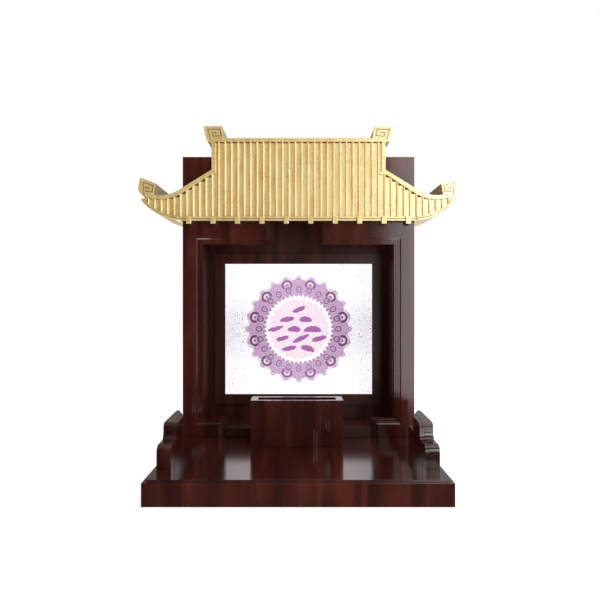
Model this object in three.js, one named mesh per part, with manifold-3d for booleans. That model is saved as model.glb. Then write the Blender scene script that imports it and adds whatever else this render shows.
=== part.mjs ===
// Household altar cabinet: a lacquered niche cabinet on a broad base, under a gilded hood roof.
// Millimetres, +Z up, the front faces -Y, origin at the middle of the base's underside.

import * as THREE from 'three';
import { mergeVertices } from 'three/addons/utils/BufferGeometryUtils.js';
import Module from 'manifold-3d';

const wasm = await Module();
wasm.setup();

const GAP = 0.3;                  // clearance between two pieces that touch
const PAST = 1;                   // how far a cutter, or a joined solid, runs past the face it crosses

// Driving dimensions: the whole

const BASE_WIDTH = 480;
const DEPTH = 407;                // base front to cabinet back
const FRONT = -DEPTH / 2;
const BACK = DEPTH / 2;

// Driving dimensions: the base

const SLAB_HEIGHT = 37;
const BASE_TOP = 40.1;            // top of the thin raised step
const STEP_INSET = 6;

// Driving dimensions: the cabinet

const CABINET_HALF = 232.25;
const CABINET_FRONT = 84.7;
const CABINET_TOP = 603.4;
const FRAME_THICK = 18;           // face frame
const BOARD = 18;                 // top board
const BACK_THICK = 14.5;
const NICHE_HALF = 192.4;
const OPENING_TOP = 428.7;
const NOTCH_HALF = 48.2;          // raised middle of the opening
const NOTCH_TOP = 484.7;
const BLOCK_TOP = 78.7;           // plinth blocks in the lower corners
const RECESS_HALF = 145.6;        // open middle between the blocks
const FLOOR_THICK = 20;

// The moulding round the opening steps back in three stages. Each stage has its distance out from
// the opening's edge, across (x) and up (z), and how far it lies behind the frame's face.

const MOULDING = [
  { x: 12.2, z: 10.8, slope: 2.4, depth: 2.4 },
  { x: 7.6, z: 6.6, slope: 0, depth: 4.4 },
  { x: 3.6, z: 3.0, slope: 0, depth: 6.8 },
];

// Driving dimensions: the picture in its frame on the niche's back

const PICTURE_FRAME = { half: 181.5, bottom: 90.1, top: 417.1, bar: 22, thick: 7 };
const PICTURE_RECESS = 3;         // picture's face behind the frame's face
const PICTURE_THICK = 3.6;
const PICTURE_LIP = 3;            // rebate that the picture rests against

// Driving dimensions: the open incense box

const BOX_WIDTH = 175;
const BOX_CENTRE_X = -3;
const BOX_FRONT = 8.6;
const BOX_BACK = 60.2;
const BOX_HEIGHT = 86.8;
const BOX_END_WALL = 13;
const BOX_LONG_WALL = 11.5;
const BOX_FLOOR = 10;
const TEE_HALF = 61.5;            // raised T on the box front, in two steps
const TEE_STEM_HALF = 38;
const TEE_ARM_BOTTOM = 27;
const TEE_STEP = 4.6;
const TEE_RISE = 1.4;

// Driving dimensions: the side rails on the base

const RAIL_OUTER = 231.8;
const RAIL_THICK = 23.3;
const RAIL_FRONT = -138.8;
const RAIL_LENGTH = 160;
const RAIL_HEIGHT = 67;
const RAIL_SHOULDER = 38.3;       // top of the lower stage
const RAIL_FOOT_TOP = 28.3;       // where the foot's upright front starts to round over

// The rail's front above the foot, as distance behind the foot's front and height.
const RAIL_SCROLL = {
  crown: [78, 66.4], brow: [55, 65.3], chin: [50, 60.3], roll: [50, 53], neckPull: [48, 40.5],
  neck: [41, RAIL_SHOULDER], shoulder: [15, RAIL_SHOULDER], shoulderPull: [2, RAIL_SHOULDER] };

// Fillets along the rail's inner and outer arrises: how far each reaches in from the rail's side,
// and how far it lies behind the front and below the top.
const RAIL_FILLETS = [{ reach: 4.4, back: 1.6 }, { reach: 8.1, back: 0.8 }];
const RAIL_OUTER_FILLET = { reach: 2.6, back: 0.8 };
const RAIL_TOP_FILLETS = [{ reach: 8.4, back: 1.6 }, { reach: 16.2, back: 0.8 }];
const RAIL_SPLAY = { across: 17.7, along: 47 };   // rear inner corner cut off the upper stage
const RAIL_GROOVE = { from: 26, to: 30, top: 36, depth: 1.6 };
const RAIL_CURL = { from: 8.4, to: 18.8, low: 48, high: 49.8, depth: 2.4 };

// Driving dimensions: the roof

const ROOF_FRONT = 70.7;
const ROOF_HALF = 172.7;          // upright ends of the upper field
const RIDGE_BOTTOM = 630.3;
const RIDGE_TOP = 637.6;
const RIDGE_END = 180.2;
const HORN_TOP = 661.2;
const VERGE = 8;                  // flat strip at each end of the upper field
const VERGE_FOOT = 560;
const VERGE_BACK = 0.6;           // verge's face behind the roof's front
const FIELD_FACE = 75.2;          // plain field behind the ribs
const RIB_PITCH = 12.69;
const RIB_WIDTH = 4.8;
const RIB_RISE = 3.7;
const RIB_SIDES = 6;
const STRIP_GAP = 3.2;            // the field between two ribs stops this far below the ridge
const STRIP_POCKET = 16;          // depth of the dark slot that this leaves
const EAVE_BOTTOM = 473.8;
const EAVE_HEIGHT = 8.2;
const EAVE_GROOVE = 1.2;
const EAVE_STEPS = 12;
const EAVE_TIP_RISE = 5.4;        // height at which the eave's tip is cut level
const RAFTER_COUNT = 10;
const RAFTER_PITCH = 48.35;
const RAFTER_WIDTH = 9.9;
const RAFTER_BOTTOM = 467.5;
const RAFTER_TOP = 482.0;
const RAFTER_PROUD = 3.6;
const RAFTER_HOUSED = 6;          // how far a rafter end is let into the eave board
const RAFTER_BEVEL = 1.1;
const FRET_WIDTH = 1.7;
const FRET_DEPTH = 1.5;

// Finishes

const finish = (color, roughness, metalness) => () =>
  new THREE.MeshStandardMaterial({ color, roughness, metalness });
const darkLacquer = finish('#3f1c16', 0.28, 0);
const nicheLacquer = finish('#2f1512', 0.32, 0);
const gilding = finish('#d8bd7c', 0.42, 0.55);
const printedGlass = finish('#f3eaf3', 0.2, 0);

// Solids

const FRONT_VIEW = new THREE.Matrix4().makeBasis(
  new THREE.Vector3(1, 0, 0), new THREE.Vector3(0, 0, 1), new THREE.Vector3(0, -1, 0));
const SIDE_VIEW = new THREE.Matrix4().makeBasis(
  new THREE.Vector3(0, 1, 0), new THREE.Vector3(0, 0, 1), new THREE.Vector3(1, 0, 0));

function solidOf(geometry) {
  const bare = geometry.clone();
  bare.deleteAttribute('normal');
  bare.deleteAttribute('uv');
  const welded = mergeVertices(bare, 1e-4);
  return new wasm.Manifold(new wasm.Mesh({
    numProp: 3,
    vertProperties: new Float32Array(welded.attributes.position.array),
    triVerts: new Uint32Array(welded.index.array),
  }));
}

function box(x0, x1, y0, y1, z0, z1) {
  const geometry = new THREE.BoxGeometry(x1 - x0, y1 - y0, z1 - z0);
  geometry.translate((x0 + x1) / 2, (y0 + y1) / 2, (z0 + z1) / 2);
  return solidOf(geometry);
}

function extrusion(shape, depth, options) {
  return new THREE.ExtrudeGeometry(shape, {
    depth, bevelEnabled: false, curveSegments: 8, ...options });
}

// An outline drawn in the front elevation (x, z), carried from one depth to another.
function frontSolid(shape, yFront, yBack, options = {}) {
  const geometry = extrusion(shape, yBack - yFront, options);
  geometry.applyMatrix4(FRONT_VIEW);
  geometry.translate(0, yBack, 0);
  return solidOf(geometry);
}

// An outline drawn in the side elevation (y, z), carried from one x to another.
function sideSolid(shape, xLow, xHigh) {
  const geometry = extrusion(shape, xHigh - xLow);
  geometry.applyMatrix4(SIDE_VIEW);
  geometry.translate(xLow, 0, 0);
  return solidOf(geometry);
}

// An outline drawn in plan (x, y), carried from one height to another.
function planSolid(shape, zLow, zHigh) {
  const geometry = extrusion(shape, zHigh - zLow);
  geometry.translate(0, 0, zLow);
  return solidOf(geometry);
}

function outline(points) {
  return new THREE.Shape(points.map(([a, b]) => new THREE.Vector2(a, b)));
}

function mirrored(solid) {
  return solid.mirror([1, 0, 0]);
}

function bothSides(solid) {
  return solid.add(mirrored(solid));
}

const altar = new THREE.Group();

function piece(name, solid, material) {
  const { vertProperties, triVerts, numProp } = solid.getMesh();
  const positions = new Float32Array((vertProperties.length / numProp) * 3);
  for (let vertex = 0; vertex * numProp < vertProperties.length; vertex += 1) {
    positions.set(vertProperties.subarray(vertex * numProp, vertex * numProp + 3), vertex * 3);
  }
  const geometry = new THREE.BufferGeometry();
  geometry.setAttribute('position', new THREE.BufferAttribute(positions, 3));
  geometry.setIndex(new THREE.BufferAttribute(new Uint32Array(triVerts), 1));
  const mesh = new THREE.Mesh(geometry, material());
  mesh.name = name;
  altar.add(mesh);
}

// Base: a broad slab with a thin step on top, set back at the front and the ends

function buildBase() {
  const slab = box(-BASE_WIDTH / 2, BASE_WIDTH / 2, FRONT, BACK, 0, SLAB_HEIGHT);
  const stepHalf = BASE_WIDTH / 2 - STEP_INSET;
  const step = box(-stepHalf, stepHalf, FRONT + STEP_INSET, BACK, SLAB_HEIGHT - PAST, BASE_TOP);
  piece('base', slab.add(step), darkLacquer);
}

// Cabinet: face frame, plinth blocks, two thick sides, top, back and niche floor

const LOWEST = BASE_TOP + GAP;

function openingOutline(growX, growZ) {
  const side = NICHE_HALF + growX;
  const recess = RECESS_HALF + growX;
  const notch = NOTCH_HALF + growX;
  const blockTop = BLOCK_TOP - growZ;
  const top = OPENING_TOP + growZ;
  const notchTop = NOTCH_TOP + growZ;
  return outline([
    [recess, 0], [recess, blockTop], [side, blockTop], [side, top], [notch, top],
    [notch, notchTop], [-notch, notchTop], [-notch, top], [-side, top], [-side, blockTop],
    [-recess, blockTop], [-recess, 0],
  ]);
}

// A sloping stage is cut by a bevelled solid that is as deep in front of the face as behind it.
function mouldingCut({ x, z, slope, depth }) {
  const face = CABINET_FRONT;
  const reach = openingOutline(x - slope, z - slope);
  if (!slope) {
    return frontSolid(reach, face - PAST, face + depth);
  }
  const bevel = {
    bevelEnabled: true, bevelSegments: 1, bevelThickness: slope + PAST, bevelSize: slope + PAST };
  return frontSolid(reach, face - slope - PAST, face, bevel).intersect(
    box(-CABINET_HALF, CABINET_HALF, face - PAST, face + depth, 0, CABINET_TOP));
}

function mouldedFrame() {
  const face = CABINET_FRONT;
  const back = face + FRAME_THICK;
  let frame = box(-CABINET_HALF, CABINET_HALF, face, back, LOWEST, CABINET_TOP);
  frame = frame.subtract(frontSolid(openingOutline(0, 0), face - PAST, back + PAST));
  MOULDING.forEach((stage) => {
    frame = frame.subtract(mouldingCut(stage));
  });
  return frame;
}

// The part of the frame that is a plinth block: below the mitre of the two mouldings.
function blockRegion(shrink) {
  const [first] = MOULDING;
  const seam = NICHE_HALF + first.x - shrink;
  const shoulder = BLOCK_TOP - first.z - shrink;
  const shape = outline([
    [RECESS_HALF - PAST, 0], [seam, 0], [seam, shoulder],
    [NICHE_HALF - shrink, BLOCK_TOP - shrink], [NICHE_HALF - PAST, BLOCK_TOP + PAST],
    [RECESS_HALF - PAST, BLOCK_TOP + PAST]]);
  return frontSolid(shape, CABINET_FRONT - PAST, CABINET_FRONT + FRAME_THICK + PAST);
}

function buildFaceFrame() {
  const frame = mouldedFrame();
  const block = frame.intersect(blockRegion(GAP));
  piece('face_frame', frame.subtract(bothSides(blockRegion(0))), darkLacquer);
  piece('plinth_block_right', block, darkLacquer);
  piece('plinth_block_left', mirrored(block), darkLacquer);
}

const NICHE_FRONT = CABINET_FRONT + FRAME_THICK + GAP;
const PANEL_FACE = BACK - BACK_THICK;
const TOP_BOARD_BOTTOM = CABINET_TOP - BOARD;

function buildCarcass() {
  const side = box(NICHE_HALF, CABINET_HALF, NICHE_FRONT, BACK, LOWEST, TOP_BOARD_BOTTOM - GAP);
  piece('cabinet_side_right', side, darkLacquer);
  piece('cabinet_side_left', mirrored(side), darkLacquer);
  piece('cabinet_top',
    box(-CABINET_HALF, CABINET_HALF, NICHE_FRONT, BACK, TOP_BOARD_BOTTOM, CABINET_TOP), darkLacquer);
  const inner = NICHE_HALF - GAP;
  piece('cabinet_back',
    box(-inner, inner, PANEL_FACE, BACK, LOWEST, TOP_BOARD_BOTTOM - GAP), nicheLacquer);
  const tongue = RECESS_HALF - GAP;
  const floorTop = BASE_TOP + FLOOR_THICK;
  const behind = box(-inner, inner, NICHE_FRONT, PANEL_FACE - GAP, LOWEST, floorTop);
  const front = box(-tongue, tongue, CABINET_FRONT, NICHE_FRONT + PAST, LOWEST, floorTop);
  piece('niche_floor', behind.add(front), nicheLacquer);
}

// Picture: a flat panel let into a flat frame on the back panel

function buildPicture() {
  const { half, bottom, top, bar, thick } = PICTURE_FRAME;
  const back = PANEL_FACE - GAP;
  const face = back - thick;
  const seat = face + PICTURE_RECESS + PICTURE_THICK + GAP;
  let frame = box(-half, half, face, back, bottom, top);
  frame = frame.subtract(box(-half + bar, half - bar, face - PAST, seat, bottom + bar, top - bar));
  const hollow = bar + PICTURE_LIP;
  frame = frame.subtract(
    box(-half + hollow, half - hollow, face, back + PAST, bottom + hollow, top - hollow));
  piece('picture_frame', frame, nicheLacquer);
  const inset = bar + GAP;
  piece('picture_panel', box(
    -half + inset, half - inset, face + PICTURE_RECESS, face + PICTURE_RECESS + PICTURE_THICK,
    bottom + inset, top - inset), printedGlass);
}

// Incense box: open at the top, with a stepped T raised on its front

function teeOutline(shrink) {
  const arm = TEE_HALF - shrink;
  const stem = TEE_STEM_HALF - shrink;
  const under = LOWEST + TEE_ARM_BOTTOM + shrink;
  const top = LOWEST + BOX_HEIGHT;
  return outline([
    [-stem, LOWEST], [stem, LOWEST], [stem, under], [arm, under],
    [arm, top], [-arm, top], [-arm, under], [-stem, under]]);
}

function buildIncenseBox() {
  const half = BOX_WIDTH / 2;
  const top = LOWEST + BOX_HEIGHT;
  const bodyFront = BOX_FRONT + 2 * TEE_RISE;
  let body = box(-half, half, bodyFront, BOX_BACK, LOWEST, top);
  body = body.add(frontSolid(teeOutline(0), BOX_FRONT + TEE_RISE, bodyFront + PAST));
  body = body.add(frontSolid(teeOutline(TEE_STEP), BOX_FRONT, bodyFront + PAST));
  const cavity = box(
    -half + BOX_END_WALL, half - BOX_END_WALL, BOX_FRONT + BOX_LONG_WALL, BOX_BACK - BOX_LONG_WALL,
    LOWEST + BOX_FLOOR, top + PAST);
  piece('incense_box', body.subtract(cavity).translate([BOX_CENTRE_X, 0, 0]), darkLacquer);
}

// Side rails: a rounded lower stage, and an upper stage with a sloped brow running back from it.
// Narrow fillets follow the arrises down the front, and the rear inner corner is splayed.

const RAIL_BACK = RAIL_FRONT + RAIL_LENGTH;
const RAIL_INNER = RAIL_OUTER - RAIL_THICK;

function railOutline(inset) {
  const front = RAIL_FRONT + inset;
  const place = ([behind, height]) => [front + behind, LOWEST + height - inset];
  const { crown, brow, chin, roll, neckPull, neck, shoulder, shoulderPull } = RAIL_SCROLL;
  const shape = new THREE.Shape();
  shape.moveTo(front, LOWEST);
  shape.lineTo(RAIL_BACK, LOWEST);
  shape.lineTo(RAIL_BACK, LOWEST + RAIL_HEIGHT - inset);
  [crown, brow, chin, roll].forEach((corner) => shape.lineTo(...place(corner)));
  shape.quadraticCurveTo(...place(neckPull), ...place(neck));
  shape.lineTo(...place(shoulder));
  shape.quadraticCurveTo(...place(shoulderPull), ...place([0, RAIL_FOOT_TOP]));
  return shape;
}

function filletedRail() {
  const [inner, second] = RAIL_FILLETS;
  const { reach, back } = RAIL_OUTER_FILLET;
  let rail = sideSolid(railOutline(0), RAIL_INNER + second.reach, RAIL_OUTER - reach);
  rail = rail.add(sideSolid(railOutline(back), RAIL_OUTER - reach - PAST, RAIL_OUTER));
  rail = rail.add(sideSolid(
    railOutline(second.back), RAIL_INNER + inner.reach, RAIL_INNER + second.reach + PAST));
  rail = rail.add(sideSolid(
    railOutline(inner.back), RAIL_INNER, RAIL_INNER + inner.reach + PAST));
  const top = LOWEST + RAIL_HEIGHT;
  RAIL_TOP_FILLETS.forEach((fillet) => {
    rail = rail.subtract(box(
      RAIL_INNER - PAST, RAIL_INNER + fillet.reach, RAIL_FRONT, RAIL_BACK + PAST,
      top - fillet.back, top + PAST));
  });
  return rail;
}

function buildRails() {
  const { across, along } = RAIL_SPLAY;
  const splay = planSolid(outline([
    [RAIL_INNER - PAST, RAIL_BACK - along * (1 + PAST / across)],
    [RAIL_INNER + across + PAST, RAIL_BACK + along * PAST / across],
    [RAIL_INNER - PAST, RAIL_BACK + along * PAST / across]]),
  LOWEST + RAIL_SHOULDER, LOWEST + RAIL_HEIGHT + PAST);
  const groove = box(
    RAIL_INNER - PAST, RAIL_INNER + RAIL_GROOVE.depth, RAIL_FRONT + RAIL_GROOVE.from,
    RAIL_FRONT + RAIL_GROOVE.to, LOWEST - PAST, LOWEST + RAIL_GROOVE.top);
  const rollFace = RAIL_FRONT + RAIL_SCROLL.roll[0];
  const curl = box(
    RAIL_INNER + RAIL_CURL.from, RAIL_INNER + RAIL_CURL.to, rollFace - RAIL_CURL.depth,
    rollFace + RAIL_CURL.depth, LOWEST + RAIL_CURL.low, LOWEST + RAIL_CURL.high);
  const rail = filletedRail().subtract(splay).subtract(groove).subtract(curl);
  piece('side_rail_right', rail, darkLacquer);
  piece('side_rail_left', mirrored(rail), darkLacquer);
}

// Roof: each member runs the full depth where it stands clear of the cabinet, and is a shallow
// facing in front of it

function clearOfCabinet(solid) {
  const side = CABINET_HALF + GAP;
  return solid.subtract(
    box(-side, side, CABINET_FRONT - GAP, BACK + PAST, 0, CABINET_TOP + GAP));
}

// The eave's lower edge on the right: flat, then rising to the tip
const EAVE_RISE_FROM = new THREE.Vector2(222, EAVE_BOTTOM);
const EAVE_PULL = new THREE.Vector2(277.6, 474);
const EAVE_TIP = new THREE.Vector2(311.4, 513.1);
const eaveCurve = new THREE.QuadraticBezierCurve(EAVE_RISE_FROM, EAVE_PULL, EAVE_TIP);

// A strip that follows the eave at a height above its lower edge, as points from left to right
function eaveLine(lift) {
  const right = eaveCurve.getPoints(EAVE_STEPS).map(({ x, y }) => [x, y + lift]);
  const left = right.map(([x, z]) => [-x, z]).reverse();
  return [...left, ...right];
}

function eaveStrip(low, high) {
  return outline([...eaveLine(low), ...eaveLine(high).reverse()]);
}

function rafterPlaces() {
  return Array.from({ length: RAFTER_COUNT },
    (_, index) => (index - (RAFTER_COUNT - 1) / 2) * RAFTER_PITCH);
}

function rafterEnd(x) {
  const half = RAFTER_WIDTH / 2 - RAFTER_BEVEL;
  const low = RAFTER_BOTTOM + RAFTER_BEVEL;
  const high = RAFTER_TOP - RAFTER_BEVEL;
  const face = outline([[x - half, low], [x + half, low], [x + half, high], [x - half, high]]);
  return frontSolid(
    face, ROOF_FRONT - RAFTER_PROUD + RAFTER_BEVEL, ROOF_FRONT + RAFTER_HOUSED - RAFTER_BEVEL,
    { bevelEnabled: true, bevelSegments: 1, bevelSize: RAFTER_BEVEL, bevelThickness: RAFTER_BEVEL });
}

function buildEave() {
  const tipHalf = EAVE_TIP.x + PAST;
  const tipCut = box(-tipHalf, tipHalf, ROOF_FRONT - PAST, BACK + PAST,
    EAVE_TIP.y + EAVE_TIP_RISE, EAVE_TIP.y + EAVE_HEIGHT + PAST);
  let board = frontSolid(eaveStrip(0, EAVE_HEIGHT), ROOF_FRONT, BACK).subtract(tipCut);
  const mid = EAVE_HEIGHT / 2;
  board = board.subtract(frontSolid(
    eaveStrip(mid - EAVE_GROOVE / 2, mid + EAVE_GROOVE / 2), ROOF_FRONT - PAST,
    ROOF_FRONT + EAVE_GROOVE));
  board = clearOfCabinet(board);
  const pocketHalf = RAFTER_WIDTH / 2 + GAP;
  rafterPlaces().forEach((x, index) => {
    board = board.subtract(box(
      x - pocketHalf, x + pocketHalf, ROOF_FRONT - PAST, ROOF_FRONT + RAFTER_HOUSED + GAP,
      EAVE_BOTTOM - PAST, RAFTER_TOP + PAST));
    piece(`rafter_end_${String(index + 1).padStart(2, '0')}`, rafterEnd(x), gilding);
  });
  piece('eave_board', board, gilding);
}

// A square spiral fret, cut into a four-cornered face. The turns are shares of the face, across
// from its outer side and up from its bottom.
const FRET_TURNS = [
  [0.17, 0.03], [0.17, 0.76], [0.85, 0.76], [0.85, 0.22], [0.36, 0.22], [0.36, 0.49], [0.62, 0.49]];

function fretCut({ outerBottom, innerBottom, innerTop, outerTop }) {
  const place = ([across, up]) => {
    const low = new THREE.Vector2(...outerBottom).lerp(new THREE.Vector2(...innerBottom), across);
    const high = new THREE.Vector2(...outerTop).lerp(new THREE.Vector2(...innerTop), across);
    return low.lerp(high, up);
  };
  const turns = FRET_TURNS.map(place);
  let cut = null;
  for (let index = 1; index < turns.length; index += 1) {
    const from = turns[index - 1];
    const to = turns[index];
    const along = to.clone().sub(from);
    const bar = new THREE.BoxGeometry(
      along.length() + FRET_WIDTH, FRET_DEPTH + PAST, FRET_WIDTH);
    bar.rotateY(-along.angle());
    bar.translate(
      (from.x + to.x) / 2, ROOF_FRONT + (FRET_DEPTH - PAST) / 2, (from.y + to.y) / 2);
    cut = cut ? cut.add(solidOf(bar)) : solidOf(bar);
  }
  return cut;
}

// Ridge beam, with a horn turned up at each end

const RIDGE_HORN = {
  sweep: [185.6, 640], outerTop: [188.2, HORN_TOP], innerTop: [151.6, HORN_TOP],
  neck: [149.2, 652.9], foot: [146, RIDGE_TOP] };
const RIDGE_FRET = {
  outerBottom: [180.2, 634], innerBottom: [147.2, RIDGE_TOP],
  innerTop: RIDGE_HORN.innerTop, outerTop: RIDGE_HORN.outerTop };

function buildRidge() {
  const shape = new THREE.Shape();
  shape.moveTo(0, RIDGE_BOTTOM);
  shape.lineTo(RIDGE_END, RIDGE_BOTTOM);
  shape.quadraticCurveTo(...RIDGE_HORN.sweep, ...RIDGE_HORN.outerTop);
  shape.lineTo(...RIDGE_HORN.innerTop);
  shape.lineTo(...RIDGE_HORN.neck);
  shape.lineTo(...RIDGE_HORN.foot);
  shape.lineTo(0, RIDGE_TOP);
  const half = frontSolid(shape, ROOF_FRONT, BACK).subtract(fretCut(RIDGE_FRET));
  piece('ridge_beam', bothSides(half), gilding);
}

// Hip ridges, from the foot of the upper field down to a horn at the tip

const HIP_HEAD = new THREE.Vector2(ROOF_HALF, 566.3);
const HIP_BEND = new THREE.Vector2(225, 532.6);
const HIP_SAG_PULL = new THREE.Vector2(264, 505.5);
const HIP_FOOT = new THREE.Vector2(309.2, 522.9);
const HIP_LIP = {                 // short level end over the verge's foot
  low: [161.4, 566], high: [161.4, 569.4], crown: [167.1, 571.6] };
const HIP_HORN = {
  sweep: [320.5, 534.5], cheek: [317.6, 541], outerTop: [314.2, 559.7], innerTop: [283.1, 547.6],
  foot: [286.6, 525.4], backPull: [257.3, 520.2] };
const HIP_BACK_FOOT = [229.6, 539.7];
const HIP_BACK_HEAD = [ROOF_HALF, 574.8];
const HIP_FRET = {
  outerBottom: [310.2, 524.4], innerBottom: [287.4, 526],
  innerTop: HIP_HORN.innerTop, outerTop: HIP_HORN.outerTop };
const HIP_SAMPLES = 40;
const hipSag = new THREE.QuadraticBezierCurve(HIP_BEND, HIP_SAG_PULL, HIP_FOOT);

function hipOutline() {
  const shape = new THREE.Shape();
  shape.moveTo(...HIP_LIP.low);
  shape.lineTo(HIP_HEAD.x, HIP_HEAD.y);
  shape.lineTo(HIP_BEND.x, HIP_BEND.y);
  shape.quadraticCurveTo(HIP_SAG_PULL.x, HIP_SAG_PULL.y, HIP_FOOT.x, HIP_FOOT.y);
  shape.quadraticCurveTo(...HIP_HORN.sweep, ...HIP_HORN.cheek);
  shape.lineTo(...HIP_HORN.outerTop);
  shape.lineTo(...HIP_HORN.innerTop);
  shape.lineTo(...HIP_HORN.foot);
  shape.quadraticCurveTo(...HIP_HORN.backPull, ...HIP_BACK_FOOT);
  shape.lineTo(...HIP_BACK_HEAD);
  shape.lineTo(...HIP_LIP.crown);
  shape.lineTo(...HIP_LIP.high);
  return shape;
}

// Height of the hip's underside at a distance from the middle
function hipUnderside(x) {
  if (x < HIP_BEND.x) {
    return HIP_BEND.y + (HIP_BEND.x - x) * (HIP_HEAD.y - HIP_BEND.y) / (HIP_BEND.x - HIP_HEAD.x);
  }
  return hipSag.getPoints(HIP_SAMPLES).find((point) => point.x >= x).y;
}

function hipBar(grow) {
  const bevel = {
    bevelEnabled: grow > 0, bevelSegments: 1, bevelSize: grow, bevelThickness: grow };
  return frontSolid(hipOutline(), ROOF_FRONT, BACK, bevel);
}

function buildHips() {
  const hip = clearOfCabinet(hipBar(0).subtract(fretCut(HIP_FRET)));
  piece('hip_ridge_right', hip, gilding);
  piece('hip_ridge_left', mirrored(hip), gilding);
}

// Tile field: a plain field with upright ribs, filling the space inside ridge, hips and eave

const FIELD_TIP = { low: [306.5, 517.5], high: [306.5, 520.8] };
const FIELD_UNDER_HORN = [285, 519.5];
const FIELD_SAG_PULL = [256, 518];
const FIELD_BEND = [227.3, 536.1];
const FIELD_HEAD = [ROOF_HALF, 570.5];

function fieldOutline() {
  const foot = eaveLine(EAVE_HEIGHT + GAP).filter(([x]) => x >= 0 && x < FIELD_TIP.low[0] - PAST);
  const shape = new THREE.Shape();
  shape.moveTo(0, EAVE_BOTTOM + EAVE_HEIGHT + GAP);
  foot.forEach((point) => shape.lineTo(...point));
  shape.lineTo(...FIELD_TIP.low);
  shape.lineTo(...FIELD_TIP.high);
  shape.lineTo(...FIELD_UNDER_HORN);
  shape.quadraticCurveTo(...FIELD_SAG_PULL, ...FIELD_BEND);
  shape.lineTo(...FIELD_HEAD);
  shape.lineTo(ROOF_HALF, RIDGE_BOTTOM - GAP);
  shape.lineTo(0, RIDGE_BOTTOM - GAP);
  return shape;
}

function ribs() {
  const profile = new THREE.Shape();
  profile.absellipse(0, 0, RIB_WIDTH / 2, RIB_RISE, 0, Math.PI, false);
  profile.lineTo(-RIB_WIDTH / 2, -PAST);
  profile.lineTo(RIB_WIDTH / 2, -PAST);
  const geometry = extrusion(profile, HORN_TOP - EAVE_BOTTOM, { curveSegments: RIB_SIDES });
  geometry.rotateX(Math.PI);
  geometry.translate(0, FIELD_FACE, HORN_TOP);
  const rib = solidOf(geometry);
  let row = null;
  for (let place = RIB_PITCH / 2; place < EAVE_TIP.x - RIB_PITCH; place += RIB_PITCH) {
    const next = rib.translate([place, 0, 0]);
    row = row ? row.add(next) : next;
  }
  return row;
}

// Between two ribs the field is cut level, so a dark slot is left under the ridge and the hips.
// The first one spans the middle, and the last one under the ridge ends at the verge.
function slots() {
  let cuts = null;
  const vergeInner = ROOF_HALF - VERGE;
  for (let rib = -RIB_PITCH / 2; rib + RIB_PITCH < EAVE_TIP.x - RIB_PITCH; rib += RIB_PITCH) {
    const from = rib + RIB_WIDTH / 2;
    const underRidge = from < vergeInner;
    const reach = rib + RIB_PITCH - RIB_WIDTH / 2;
    const to = underRidge ? Math.min(reach, vergeInner) : reach;
    const top = underRidge
      ? RIDGE_BOTTOM - GAP - STRIP_GAP
      : Math.min(hipUnderside(from), hipUnderside(to)) - GAP;
    const behind = from < CABINET_HALF && !underRidge ? CABINET_FRONT : FIELD_FACE + STRIP_POCKET;
    const height = underRidge ? STRIP_GAP + PAST : RIB_PITCH;
    const cut = box(from, to, ROOF_FRONT - PAST, behind, top, top + height);
    cuts = cuts ? cuts.add(cut) : cut;
  }
  return cuts;
}

function buildTileField() {
  const field = frontSolid(fieldOutline(), FIELD_FACE, BACK);
  const inside = frontSolid(fieldOutline(), ROOF_FRONT, FIELD_FACE + PAST);
  const verge = box(
    ROOF_HALF - VERGE, ROOF_HALF, ROOF_FRONT + VERGE_BACK, FIELD_FACE + PAST,
    VERGE_FOOT, RIDGE_BOTTOM - GAP);
  const front = ribs().add(verge).intersect(inside);
  const half = field.subtract(slots()).add(front).subtract(hipBar(GAP));
  piece('tile_field', clearOfCabinet(bothSides(half)), gilding);
}

buildBase();
buildRails();
buildIncenseBox();
buildCarcass();
buildFaceFrame();
buildPicture();
buildTileField();
buildEave();
buildHips();
buildRidge();

export default altar;
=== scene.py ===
# Household altar cabinet: polished mahogany niche cabinet under a gilded, ribbed hood roof.
# Metres, +Z up, the front faces -Y. Laid out as an add-on and run as a script.

import math

import bpy
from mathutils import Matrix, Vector


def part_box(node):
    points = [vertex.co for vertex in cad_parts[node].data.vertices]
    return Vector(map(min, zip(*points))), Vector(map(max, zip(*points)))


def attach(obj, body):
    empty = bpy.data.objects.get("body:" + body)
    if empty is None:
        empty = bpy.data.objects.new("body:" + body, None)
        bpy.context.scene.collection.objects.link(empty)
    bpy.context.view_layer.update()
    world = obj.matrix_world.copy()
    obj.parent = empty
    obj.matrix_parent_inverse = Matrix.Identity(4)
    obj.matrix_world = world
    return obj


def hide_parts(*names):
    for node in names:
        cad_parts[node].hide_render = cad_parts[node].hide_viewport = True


bl_info = {
    "name": "Household altar cabinet",
    "version": (1, 0, 0),
    "blender": (4, 5, 0),
    "location": "3D Viewport > Sidebar > Altar",
    "description": "Dresses the altar cabinet's solids as polished mahogany, gilding and printed glass",
    "category": "Add Mesh",
}

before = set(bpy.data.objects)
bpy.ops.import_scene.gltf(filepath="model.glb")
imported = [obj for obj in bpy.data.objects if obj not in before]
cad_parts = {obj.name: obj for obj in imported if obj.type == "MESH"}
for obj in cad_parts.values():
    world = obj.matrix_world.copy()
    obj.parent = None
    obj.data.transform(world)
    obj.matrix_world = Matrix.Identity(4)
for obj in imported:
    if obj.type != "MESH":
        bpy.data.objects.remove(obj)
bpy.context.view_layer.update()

MM = 0.001

# Tolerances: two places this near are one, and a normal past ALONG points along its axis

NEAR = 0.1 * MM
ALONG = 0.9
CUT_TOLERANCE = 0.001 * MM
MERGE_DISTANCE = 0.01 * MM
FLAT_ANGLE = math.radians(0.5)

# Settings that many nodes share

MULTIPLY = {"operation": "MULTIPLY"}
MULTIPLY_ADD = {"operation": "MULTIPLY_ADD"}
VECTOR_LENGTH = {"operation": "LENGTH"}
ABSOLUTE = {"operation": "ABSOLUTE"}
SMOOTH_STEP = {"interpolation_type": "SMOOTHSTEP"}

# A Mix node of colours has its factor at input 0, its colours at 6 and 7, its result at output 2

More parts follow.
